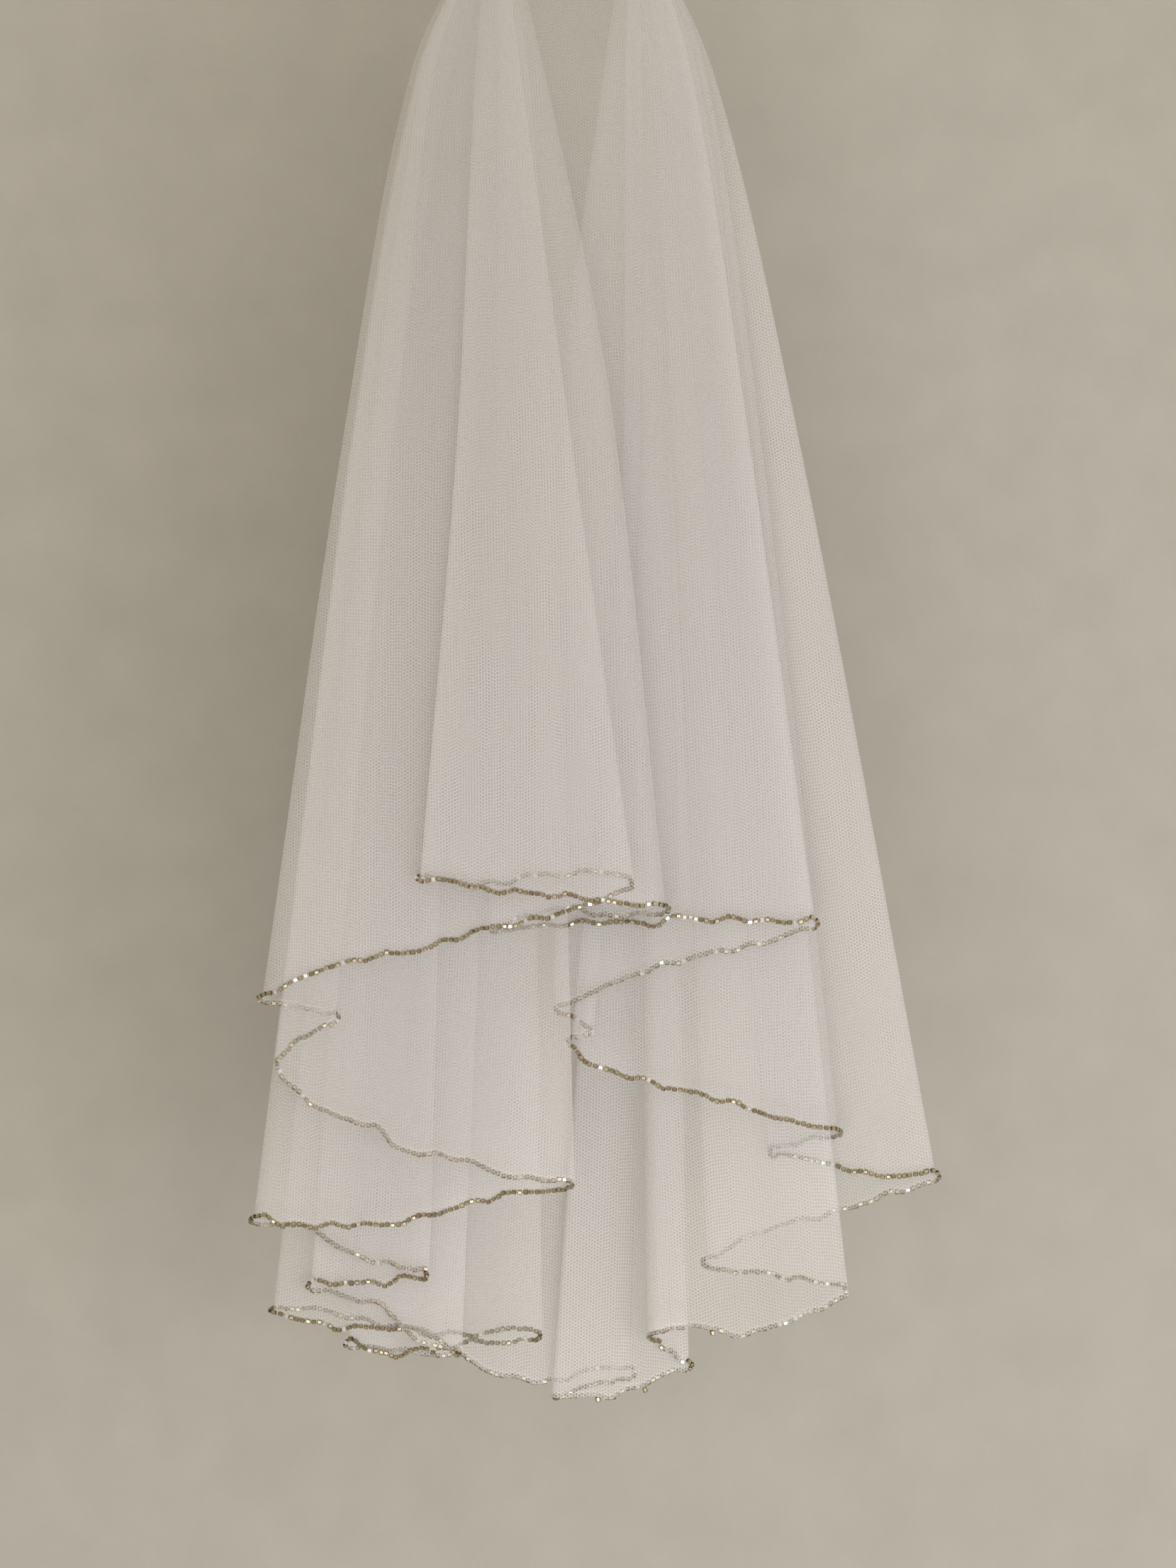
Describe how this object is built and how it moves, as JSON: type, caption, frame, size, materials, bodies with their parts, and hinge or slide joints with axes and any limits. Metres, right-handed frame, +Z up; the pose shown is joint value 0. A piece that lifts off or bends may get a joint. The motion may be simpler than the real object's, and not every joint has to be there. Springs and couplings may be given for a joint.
{
  "type": "veil",
  "caption": "Two-tier elbow-length veil of sheer ivory net with a beaded edge, in cascading folds from a small hair comb.",
  "frame": {"origin": "middle of the comb's top edge, where the veil is held", "axes": "+Z up along the hang of the veil, -Y towards its front tier, +X to the viewer's right"},
  "size_m": [0.3392, 0.1134, 0.7433],
  "materials": {
    "tulle": "sheer matte ivory net",
    "cut_glass": "small silver-lined champagne cut-glass beads",
    "comb_plastic": "clear ivory moulded comb",
    "ribbon": "ivory satin ribbon"
  },
  "bodies": {
    "root": {"net_front_left": "tulle", "net_side_left": "tulle", "net_back": "tulle", "net_side_right": "tulle", "net_front_right": "tulle", "comb": "comb_plastic", "binding": "ribbon"}
  },
  "joints": []
}
